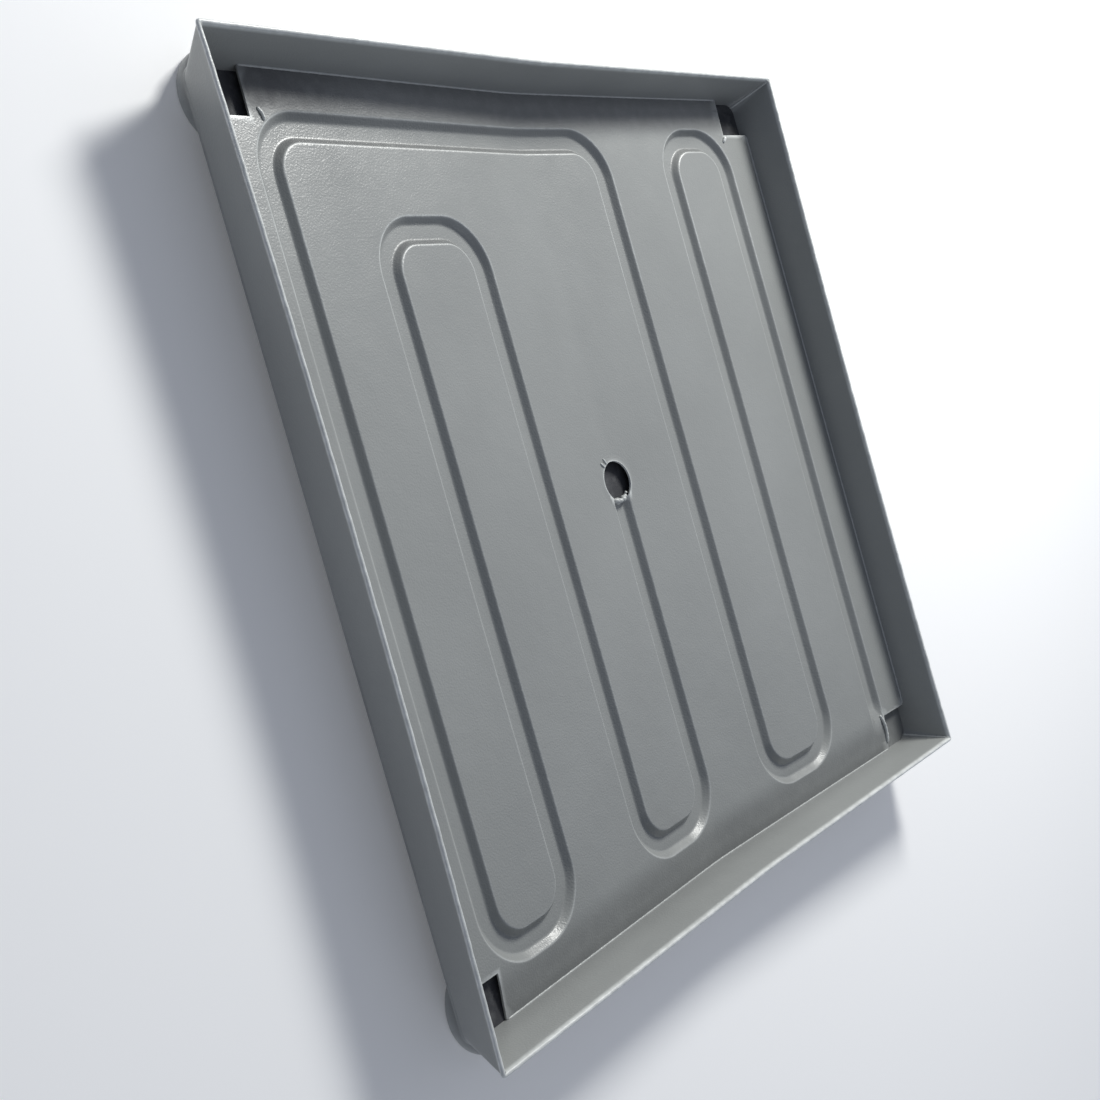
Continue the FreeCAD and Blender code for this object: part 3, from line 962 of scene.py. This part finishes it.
def weld(name, path, radius, nodes, wear_and_highlight_level=0.4, sides=10):
    """Uneven rod along a path, as one piece: its radius ripples, and tapers off at both ends."""
    length = np.concatenate([[0.0], np.cumsum(np.linalg.norm(np.diff(path, axis=0), axis=1))])
    uneven = 1.0 + PUDDLES * ripple(length, PUDDLE_WAVES, PUDDLE_PHASE)
    ends = np.clip(np.minimum(length, length[-1] - length) / END_TAPER, 0.15, 1.0) ** 0.5
    points = rod(path, radius * uneven * ends, sides)
    faces = ring_faces(len(path), sides)
    add_piece(name, points, faces, paint_weld, nodes, wear_and_highlight_level, sharp=80.0)


def between(start, end, step):
    """Evenly spaced points from one place to another."""
    start, end = np.asarray(start, float), np.asarray(end, float)
    parts = np.linspace(0.0, 1.0, max(2, int(np.linalg.norm(end - start) / step)))[:, None]
    return start + (end - start) * parts


print("weld waves", [round(w / MM, 1) for w in PUDDLE_WAVES], "mm")

# %% Run the corner seams
SEAM_STEP, SEAM_RADIUS = 0.8 * MM, 1.1 * MM
BELOW_RIM = 0.8 * MM
mitre = RIM_HALF - SHEET
wall_depth = RIM_HEIGHT - float(base_plane(PLATE_REACH))
rounded = FOOT_ROUNDING * (1.0 - np.sqrt(0.5)) / wall_depth
for place, (sx, sy) in PLACES.items():
    top = np.array([sx * mitre, sy * mitre, RIM_HEIGHT - BELOW_RIM])
    fall = np.array([sx * (SIDE_FLARE + rounded), sy * (END_FLARE_CORNER + rounded), 1.0])
    path = between(top, top - wall_depth * fall, SEAM_STEP)
    weld("corner_seam_" + place, path, SEAM_RADIUS, ["seam_weld_" + place])

# %% Run the seams along the pan
PAN_SEAM_POINTS = 420
PAN_SEAM_WEAR = 0.35
SEAM_SINK = 0.05 * MM
END_SEAM_OUT, END_SEAM_RADIUS = 0.15 * MM, 0.8 * MM
SIDE_SEAM_OUT, SIDE_SEAM_RADIUS = 0.35 * MM, 0.85 * MM
end_x = np.linspace(-NOTCH_X + 1.0 * MM, NOTCH_X - 1.0 * MM, PAN_SEAM_POINTS)
for place, sign, reach_of in (("front", -1, front_end), ("back", 1, back_end)):
    end_y = sign * (reach_of(end_x) + END_SEAM_OUT)
    path = np.column_stack([end_x, end_y, pan_surface(end_x, end_y) - SEAM_SINK])
    weld("pan_seam_" + place, path, END_SEAM_RADIUS, ["tack_welds_" + place], PAN_SEAM_WEAR)
side_y = np.linspace(-NOTCH_Y + 1.0 * MM, NOTCH_Y - 1.0 * MM, PAN_SEAM_POINTS)
for place, sign in (("left", -1), ("right", 1)):
    side_x = np.full(len(side_y), sign * (pan_high.x + SIDE_SEAM_OUT))
    path = np.column_stack([side_x, side_y, pan_surface(side_x, side_y) - SEAM_SINK])
    weld("pan_seam_" + place, path, SIDE_SEAM_RADIUS, ["tack_welds_" + place], PAN_SEAM_WEAR)

# %% [markdown]
# ## Weld at the hole
#
# The pan is tied to the base plate with a few blobs of weld at the front of the hole. A rod
# with large, irregular swellings, bent round that part of the hole, gives the same ragged
# lumps without modelling each one.

# %% Drop the hole's weld
LUMP_RADIUS = 2.1 * MM
LUMP_RING = HOLE_RADIUS * 0.97
LUMP_LEVEL = PAN_TOP - 2.4 * MM
arc = np.linspace(np.radians(-142.0), np.radians(-38.0), 90)
arch = 1.0 * MM * np.cos((arc + np.pi / 2) * 3.1)
lump_path = np.column_stack([
    LUMP_RING * np.cos(arc), LUMP_RING * np.sin(arc),
    LUMP_LEVEL + arch + 0.5 * MM * np.sin(arc * 23.0),
])
swelling = 1.0 + 0.45 * np.sin(arc * 17.0) * np.sin(arc * 7.0 + 1.0)
thinning = 1.0 - 0.5 * np.abs(arc + np.pi / 2)
weld("hole_lumps", lump_path, LUMP_RADIUS * swelling * thinning, ["hole_weld"], wear_and_highlight_level=0.5, sides=16)

# %% [markdown]
# ## Burrs
#
# A cut edge of painted sheet is rarely clean. A curled lip stands on a few of the notches'
# edges, and two short tabs are left on the rim of the hole. Each is a thin rod on the pan's
# surface that swings out and up between its ends, on half a sine wave.

# %% Curl the cut edges
BURR_STEP, BURR_LIFT = 0.7 * MM, 0.25 * MM


def edge_burr(name, start, end, radius, wobble):
    """Thin lip of paint and metal left along a cut, carried along the pan's surface."""
    flat = between(start, end, BURR_STEP)
    swing = wobble * np.sin(np.linspace(0.0, np.pi, len(flat)))
    path = np.column_stack([flat[:, 0] + swing, flat[:, 1], pan_surface(flat[:, 0], flat[:, 1])])
    path[:, 2] += BURR_LIFT + 0.5 * swing
    # A full light coat along the burr: rubbed paint and painted highlight.
    weld(name, path, radius, ["floor_pan"], wear_and_highlight_level=1.0)


edge_burr(
    "burr_front_right", (NOTCH_X - 6 * MM, -NOTCH_Y + 2 * MM),
    (NOTCH_X - 0.5 * MM, -NOTCH_Y - 24 * MM), radius=1.3 * MM, wobble=1.6 * MM)
edge_burr(
    "burr_back_right", (NOTCH_X - 3 * MM, NOTCH_Y - 6 * MM),
    (NOTCH_X + 1 * MM, NOTCH_Y - 1 * MM), radius=1.6 * MM, wobble=0.6 * MM)
edge_burr(
    "burr_back_left", (-NOTCH_X + 7 * MM, NOTCH_Y + 6 * MM),
    (-NOTCH_X + 10 * MM, NOTCH_Y - 2 * MM), radius=1.0 * MM, wobble=0.8 * MM)

for number, degrees in ((1, 117.0), (2, 131.0)):
    outward = np.array([np.cos(np.radians(degrees)), np.sin(np.radians(degrees))])
    near, far = outward * (HOLE_RADIUS + 0.5 * MM), outward * (HOLE_RADIUS + 5.5 * MM)
    edge_burr(f"burr_hole_{number}", near, far, radius=0.8 * MM, wobble=0.3 * MM)
